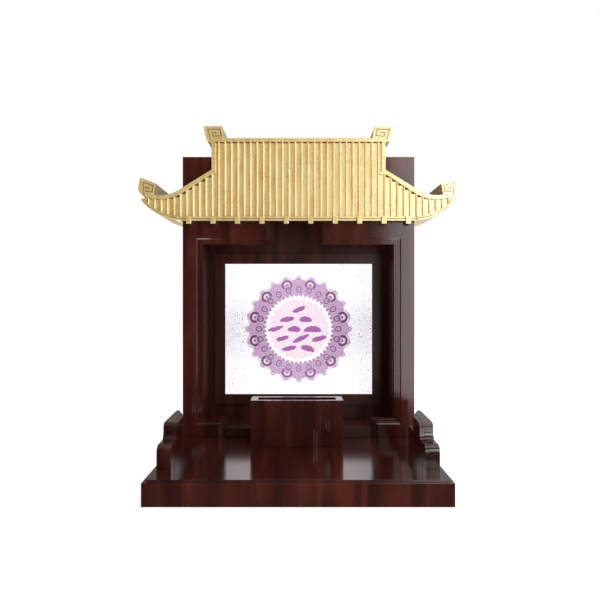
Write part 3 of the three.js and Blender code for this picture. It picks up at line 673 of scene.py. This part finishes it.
def line_at(points, x):
    """Height and slope, at x, of a line through points that run from left to right."""
    for (x0, z0), (x1, z1) in zip(points, points[1:]):
        if x <= x1:
            slope = (z1 - z0) / (x1 - x0)
            return z0 + slope * (x - x0), slope
    return points[-1][1], 0.0


EAVE_LINE = [(0, EAVE_FLAT[1]), *curve_points(EAVE_FLAT, EAVE_PULL, EAVE_TIP)]
HIP_LINE = [HIP_HEAD, *curve_points(HIP_BEND, HIP_PULL, HIP_FOOT)]


# Operators


class ALTAR_OT_base(bpy.types.Operator):
    """Broad base board with its thin raised step"""
    bl_idname = "altar.base"
    bl_label = "Base"

    def execute(self, context):
        polished(context, "base", "yz")
        return {"FINISHED"}


class ALTAR_OT_cabinet(bpy.types.Operator):
    """Sides, top, back and floor of the niche cabinet"""
    bl_idname = "altar.cabinet"
    bl_label = "Niche cabinet"

    def execute(self, context):
        for node, side in (("cabinet_side_left", -1), ("cabinet_side_right", 1)):
            polished(context, node, "z", inside=lambda face: face.normal.x * side < -ALONG)
        polished(context, "cabinet_back", "z", inside=lambda face: face.normal.y < -ALONG)
        polished(context, "cabinet_top", "x")
        polished(context, "niche_floor", "x", inside=lambda face: True)
        return {"FINISHED"}


class ALTAR_OT_face_frame(bpy.types.Operator):
    """Moulded face frame and the plinth blocks in its lower corners"""
    bl_idname = "altar.face_frame"
    bl_label = "Face frame"

    def execute(self, context):
        polished(context, "face_frame", "z", "frame_edge")
        for node in ("plinth_block_left", "plinth_block_right"):
            polished(context, node, "z")
        return {"FINISHED"}


class ALTAR_OT_side_rails(bpy.types.Operator):
    """Stepped and scrolled rails along the base's ends"""
    bl_idname = "altar.side_rails"
    bl_label = "Side rails"

    def execute(self, context):
        for node in ("side_rail_left", "side_rail_right"):
            polished(context, node, "z", "rail_edge")
        return {"FINISHED"}


class ALTAR_OT_incense_box(bpy.types.Operator):
    """Open incense box with a T raised on its front in two layers"""
    bl_idname = "altar.incense_box"
    bl_label = "Incense box"

    def execute(self, context):
        sizes = context.scene.altar_sizes
        low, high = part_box("incense_box")
        face = low.y + 2 * sizes.tee_rise
        piece = block("incense_box_polished", (low.x, face, low.z), high)
        bpy.ops.object.mode_set(mode="EDIT")
        self.hollow(piece, low, high, face, sizes)
        self.raise_tee(piece, low, high, face, sizes)
        bpy.ops.mesh.select_all(action="SELECT")
        bpy.ops.mesh.dissolve_limited(angle_limit=FLAT_ANGLE)
        bpy.ops.object.mode_set(mode="OBJECT")
        piece.data.materials.append(lacquered_mahogany("z"))
        ease_edges(piece, sizes.box_edge, 2)
        hand_over(piece, "incense_box")
        return {"FINISHED"}

    def hollow(self, piece, low, high, face, sizes):
        """Insets the top to the walls' thickness and pushes the inner face down to the floor."""
        front_wall = sizes.box_long_wall - 2 * sizes.tee_rise
        select_faces(piece, lambda middle, normal: normal.z > ALONG)
        bpy.ops.mesh.inset(thickness=front_wall)
        long_now = high.x - low.x - 2 * front_wall
        deep_now = high.y - face - 2 * front_wall
        long_wanted = high.x - low.x - 2 * sizes.box_end_wall
        deep_wanted = high.y - low.y - 2 * sizes.box_long_wall
        bpy.ops.transform.resize(value=(long_wanted / long_now, deep_wanted / deep_now, 1))
        shift = (low.y + high.y) / 2 - (face + high.y) / 2
        bpy.ops.transform.translate(value=(0, shift, 0))
        depth = high.z - low.z - sizes.box_floor
        bpy.ops.mesh.extrude_region_move(TRANSFORM_OT_translate={"value": (0, 0, -depth)})

    def raise_tee(self, piece, low, high, face, sizes):
        """Scores the front along the T's two outlines and pulls each layer out."""
        centre = (low.x + high.x) / 2
        arm_underside = low.z + sizes.tee_arm_bottom

        def on_front(middle, normal):
            return normal.y < -ALONG and middle.y < face + NEAR

        for inset in (0, sizes.tee_step):
            for half in (sizes.tee_half - inset, sizes.tee_stem_half - inset):
                for sign in (-1, 1):
                    select_faces(piece, on_front)
                    bpy.ops.mesh.bisect(plane_co=(centre + sign * half, face, 0), plane_no=(1, 0, 0))
            select_faces(piece, on_front)
            bpy.ops.mesh.bisect(plane_co=(0, face, arm_underside + inset), plane_no=(0, 0, 1))
        for layer, inset in enumerate((0, sizes.tee_step)):
            layer_face = face - layer * sizes.tee_rise
            arm = sizes.tee_half - inset
            stem = sizes.tee_stem_half - inset
            underside = arm_underside + inset

            def on_tee(middle, normal):
                if not (normal.y < -ALONG and abs(middle.y - layer_face) < NEAR):
                    return False
                beside = abs(middle.x - centre)
                return beside < stem or (beside < arm and middle.z > underside)

            select_faces(piece, on_tee)
            bpy.ops.mesh.extrude_region_move(
                TRANSFORM_OT_translate={"value": (0, -sizes.tee_rise, 0)})
            bpy.ops.transform.resize(
                value=((arm - sizes.tee_slope) / arm, 1, 1), center_override=(centre, 0, 0))
            self.select_underside(piece, layer_face - sizes.tee_rise, underside)
            bpy.ops.transform.translate(value=(0, 0, sizes.tee_slope))

    def select_underside(self, piece, front, underside):
        """Selects the points of a layer's front that lie at the arms' underside."""
        bpy.ops.mesh.select_mode(type="VERT")
        bpy.ops.mesh.select_all(action="DESELECT")
        bpy.ops.object.mode_set(mode="OBJECT")
        for point in piece.data.vertices:
            place = point.co
            point.select = abs(place.y - front) < NEAR and abs(place.z - underside) < NEAR
        bpy.ops.object.mode_set(mode="EDIT")


class ALTAR_OT_picture(bpy.types.Operator):
    """Flat frame on the niche's back with the printed glass let into it"""
    bl_idname = "altar.picture"
    bl_label = "Framed picture"

    def execute(self, context):
        polished(context, "picture_frame", "z", inside=lambda face: True)
        low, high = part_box("picture_panel")
        panel = block("picture_panel_printed", low, high)
        panel.data.materials.append(printed_glass((low + high) / 2))
        ease_edges(panel, context.scene.altar_sizes.glass_edge, 2)
        hand_over(panel, "picture_panel")
        return {"FINISHED"}


class ALTAR_OT_tile_field(bpy.types.Operator):
    """Roof field with half-round ribs and the flat verge strips at its upper ends"""
    bl_idname = "altar.tile_field"
    bl_label = "Ribbed roof field"

    def execute(self, context):
        sizes = context.scene.altar_sizes
        field = carried("tile_field", "tile_field_gilded")
        # The solid's own plain ribs come off here, and rounder ones take their place.
        cut(field, (0, FIELD_FACE + SKIM, 0), (0, -1, 0))
        self.raise_sills(field, sizes)
        field.data.materials.append(gilded_wood())
        field.data.materials.append(bare_wood())
        # Painted shade: the slots' walls and backs get the dark brown.
        for face in field.data.polygons:
            face.material_index = int(self.in_slot(face))
        ease_edges(field, sizes.field_edge, 1)
        extras = self.ribs(sizes) + [self.verge(side, sizes) for side in (-1, 1)]
        for extra in extras:
            extra.data.materials.append(gilded_wood())
        only(field, *extras)
        bpy.ops.object.join()
        hand_over(field, "tile_field")
        return {"FINISHED"}

    def raise_sills(self, field, sizes):
        """Raises the sills of the slots under the ridge."""
        highest, lowest = (RIDGE_UNDERSIDE - below for below in SLOT_SILLS)
        only(field)
        bpy.ops.object.mode_set(mode="EDIT")
        select_faces(field, lambda middle, normal: (
            normal.z > ALONG and middle.y < FIELD_FACE + SILL_REACH
            and lowest < middle.z < highest))
        bpy.ops.transform.translate(value=(0, 0, sizes.sill_rise))
        bpy.ops.object.mode_set(mode="OBJECT")

    def in_slot(self, face):
        """Whether a face is a wall or the back of a slot under the ridge or a hip."""
        depth = face.center.y - FIELD_FACE
        back = face.normal.y < -ALONG and SLOT_BACKS[0] < depth < SLOT_BACKS[1]
        wall = abs(face.normal.x) > ALONG and depth < SLOT_WALLS and face.area < LARGEST_SLOT_WALL
        return back or wall

    def verge(self, side, sizes):
        """Flat upright strip at one end of the upper field, cut off along the hip."""
        inner, outer = sorted((side * (ROOF_HALF - VERGE_WIDTH), side * ROOF_HALF))
        strip = block("verge", (inner, VERGE_FACE, VERGE_FOOT),
                      (outer, FIELD_FACE + SINK, RIDGE_UNDERSIDE - CLEARANCE))
        foot, slope = line_at(HIP_LINE, ROOF_HALF)
        cut(strip, (side * ROOF_HALF, 0, foot + HIP_RISE), (side * -slope, 0, -1))
        ease_edges(strip, sizes.verge_edge, 2)
        return strip

    def ribs(self, sizes):
        """Half-round bars at an even pitch, copied from one that is modelled in the middle."""
        bpy.ops.object.select_all(action="DESELECT")
        top = RIDGE_UNDERSIDE + SPARE
        foot = EAVE_FLAT[1] - SPARE
        bpy.ops.mesh.primitive_cylinder_add(
            vertices=28, radius=1, depth=1, location=(0, FIELD_FACE, (top + foot) / 2),
            scale=(sizes.rib_width / 2, sizes.rib_rise, top - foot))
        model = bpy.context.object
        bpy.ops.object.transform_apply(location=True, rotation=True, scale=True)
        cut(model, (0, FIELD_FACE + SINK, 0), (0, 1, 0))
        made = []
        place = sizes.rib_pitch / 2
        while place < EAVE_TIP[0] - sizes.rib_pitch:
            for side in (-1, 1):
                made.append(self.rib(model, place, side))
            place += sizes.rib_pitch
        bpy.data.objects.remove(model)
        return made

    def rib(self, model, place, side):
        """A copy of the model at its place, cut off over the eave and under the ridge or hip."""
        only(model)
        bpy.ops.object.duplicate()
        rib = bpy.context.object
        rib.location.x = side * place
        bpy.ops.object.transform_apply(location=True, rotation=False, scale=False)
        height, slope = line_at(EAVE_LINE, place)
        cut(rib, (side * place, 0, height + EAVE_RISE + CLEARANCE), (side * slope, 0, -1))
        if place < ROOF_HALF - VERGE_WIDTH:
            cut(rib, (side * place, 0, RIDGE_UNDERSIDE - CLEARANCE), (0, 0, 1))
        else:
            height, slope = line_at(HIP_LINE, place)
            cut(rib, (side * place, 0, height - CLEARANCE), (side * -slope, 0, 1))
        bpy.ops.object.shade_smooth_by_angle(angle=math.radians(40))
        return rib


class ALTAR_OT_roof_beams(bpy.types.Operator):
    """Ridge beam, hip ridges and eave board with their fret-carved horns"""
    bl_idname = "altar.roof_beams"
    bl_label = "Ridge, hips and eave"

    def execute(self, context):
        for node in ("ridge_beam", "hip_ridge_left", "hip_ridge_right"):
            gilded(context, node)
        self.paint_underside_shade(gilded(context, "eave_board"))
        return {"FINISHED"}

    def paint_underside_shade(self, board):
        """Paints shade on the eave board's underside in front of the cabinet, in matt dark brown."""
        bare = len(board.data.materials)
        board.data.materials.append(bare_wood())
        only(board)
        bpy.ops.object.mode_set(mode="EDIT")
        for side in (-1, 1):
            bpy.ops.mesh.select_all(action="SELECT")
            bpy.ops.mesh.bisect(
                plane_co=(side * CABINET_HALF, 0, 0), plane_no=(1, 0, 0), threshold=CUT_TOLERANCE)
        bpy.ops.object.mode_set(mode="OBJECT")
        for face in board.data.polygons:
            middle = face.center
            if face.normal.z < -0.7 and abs(middle.x) < CABINET_HALF and middle.y < CABINET_FACE:
                face.material_index = bare


class ALTAR_OT_rafter_ends(bpy.types.Operator):
    """Row of small rafter ends let into the eave board"""
    bl_idname = "altar.rafter_ends"
    bl_label = "Rafter ends"

    def execute(self, context):
        names = sorted(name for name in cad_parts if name.startswith("rafter_end_"))
        low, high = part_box(names[0])
        model = block("rafter_end_gilded", low, high)
        model.data.materials.append(gilded_wood())
        model.data.materials.append(bare_wood())
        # Painted shade: the undersides get the dark brown.
        for face in model.data.polygons:
            face.material_index = int(face.normal.z < -ALONG)
        ease_edges(model, context.scene.altar_sizes.rafter_edge)
        for name in names:
            only(model)
            bpy.ops.object.duplicate()
            piece = bpy.context.object
            piece.name = f"{name}_gilded"
            piece.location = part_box(name)[0] - low
            bpy.ops.object.transform_apply(location=True, rotation=False, scale=False)
            hand_over(piece, name)
        bpy.data.objects.remove(model)
        return {"FINISHED"}


class ALTAR_OT_stage(bpy.types.Operator):
    """Camera, pale floor, white surroundings and soft studio lights"""
    bl_idname = "altar.stage"
    bl_label = "Studio"

    def execute(self, context):
        scene = context.scene
        camera_data = bpy.data.cameras.new("camera")
        camera_data.lens = CAMERA_LENS
        camera_data.sensor_width = 36
        camera_data.clip_start = 0.01
        camera = bpy.data.objects.new("camera", camera_data)
        camera.location = CAMERA_PLACE
        camera.rotation_euler = (math.radians(90), 0, 0)
        scene.collection.objects.link(camera)
        scene.camera = camera
        scene.view_settings.view_transform = "Standard"
        self.floor()
        self.surroundings(scene)
        # Softboxes: name, place, aim, width, height, brightness, whether it lights matt surfaces
        for name, place, aim, width, height, glow, diffuse in (
                ("key_softbox", (1.5, -1.75, 1.1), (0.1, 0.1, 0.35), 1.8, 1.6, 3.0, True),
                ("top_softbox", (0.9, 0.1, 1.9), (0, 0.1, 0.3), 1.4, 1.4, 1.2, True),
                ("reflection_card", (1.21, -1.75, 0.63), (1.21, 0, 0.63), 1.5, 1.66, 2.1, False)):
            lamp = self.softbox(scene, name, place, aim, width, height, glow)
            lamp.visible_diffuse = diffuse
        return {"FINISHED"}

    def floor(self):
        """A wide pale floor, a hair below the base, that the gloss doesn't mirror."""
        bpy.ops.object.select_all(action="DESELECT")
        bpy.ops.mesh.primitive_plane_add(size=8, location=(0, 0, -0.2 * MM))
        floor = bpy.context.object
        floor.name = "floor"
        bpy.ops.object.transform_apply(location=True, rotation=True, scale=True)
        floor.data.materials.append(studio_paint())
        floor.visible_glossy = False

    def surroundings(self, scene):
        """White all round for the eye and for soft light, and dim where the gloss mirrors it."""
        world = bpy.data.worlds.new("white_studio")
        scene.world = world
        world.use_nodes = True
        tree = world.node_tree
        tree.nodes.clear()
        rays = add_node(tree, "LightPath").node
        way = add_node(tree, "TexCoord", output="Generated")
        parts = add_node(tree, "SeparateXYZ", None, {0: way}).node
        # A black flag stands in front, and the left side is dimmer than the right.
        flag = add_node(tree, "MapRange", SMOOTH_STEP, {
            "Value": parts.outputs["Y"], "From Min": -0.85, "From Max": -0.2,
            "To Min": 0.07, "To Max": 1.0})
        side = add_node(tree, "MapRange", SMOOTH_STEP, {
            "Value": parts.outputs["X"], "From Min": -0.6, "From Max": 0.3,
            "To Min": 0.15, "To Max": 0.45})
        walls = add_node(tree, "Math", MULTIPLY, {0: flag, 1: side})
        # The bright studio floor in front shows in edges that are turned down a little.
        below = add_node(tree, "MapRange", SMOOTH_STEP, {
            "Value": parts.outputs["Z"], "From Min": -0.35, "From Max": -0.6,
            "To Min": 0.0, "To Max": 2.5})
        mirrored = add_node(tree, "Math", {"operation": "MAXIMUM"}, {0: walls, 1: below})
        for_gloss = add_node(tree, "Mix", {"data_type": "FLOAT"}, {
            0: rays.outputs["Is Glossy Ray"], 2: 0.6, 3: mirrored})
        glow = add_node(tree, "Math", {"operation": "MAXIMUM"}, {
            0: for_gloss, 1: rays.outputs["Is Camera Ray"]})
        white = add_node(tree, "Background", None, {"Color": (1, 1, 1, 1), "Strength": glow})
        add_node(tree, "OutputWorld", None, {"Surface": white})

    def softbox(self, scene, name, place, aim, width, height, glow):
        """A rectangular light whose face has a given brightness, seen only by what it lights."""
        data = bpy.data.lights.new(name, "AREA")
        data.shape = "RECTANGLE"
        data.size = width
        data.size_y = height
        data.energy = glow * math.pi * width * height
        lamp = bpy.data.objects.new(name, data)
        lamp.location = place
        lamp.rotation_euler = (Vector(aim) - Vector(place)).to_track_quat("-Z", "Y").to_euler()
        lamp.visible_camera = False
        scene.collection.objects.link(lamp)
        return lamp


OPERATORS = (
    ALTAR_OT_base, ALTAR_OT_side_rails, ALTAR_OT_incense_box, ALTAR_OT_cabinet, ALTAR_OT_face_frame,
    ALTAR_OT_picture, ALTAR_OT_tile_field, ALTAR_OT_roof_beams, ALTAR_OT_rafter_ends, ALTAR_OT_stage)


class ALTAR_PT_panel(bpy.types.Panel):
    """Builds the altar cabinet piece by piece"""
    bl_label = "Altar cabinet"
    bl_idname = "ALTAR_PT_panel"
    bl_space_type = "VIEW_3D"
    bl_region_type = "UI"
    bl_category = "Altar"

    def draw(self, context):
        layout = self.layout
        for operator in OPERATORS:
            layout.operator(operator.bl_idname)
        for group in (context.scene.altar_sizes, context.scene.altar_finishes):
            column = layout.column()
            for name in group.bl_rna.properties.keys():
                if name not in ("rna_type", "name"):
                    column.prop(group, name)


CLASSES = (AltarSizes, AltarFinishes, *OPERATORS, ALTAR_PT_panel)


def register():
    for cls in CLASSES:
        bpy.utils.register_class(cls)
    bpy.types.Scene.altar_sizes = bpy.props.PointerProperty(type=AltarSizes)
    bpy.types.Scene.altar_finishes = bpy.props.PointerProperty(type=AltarFinishes)


def unregister():
    del bpy.types.Scene.altar_finishes
    del bpy.types.Scene.altar_sizes
    for cls in reversed(CLASSES):
        bpy.utils.unregister_class(cls)


def main():
    register()
    for operator in OPERATORS:
        group, name = operator.bl_idname.split(".")
        getattr(getattr(bpy.ops, group), name)()


if __name__ == "__main__":
    main()
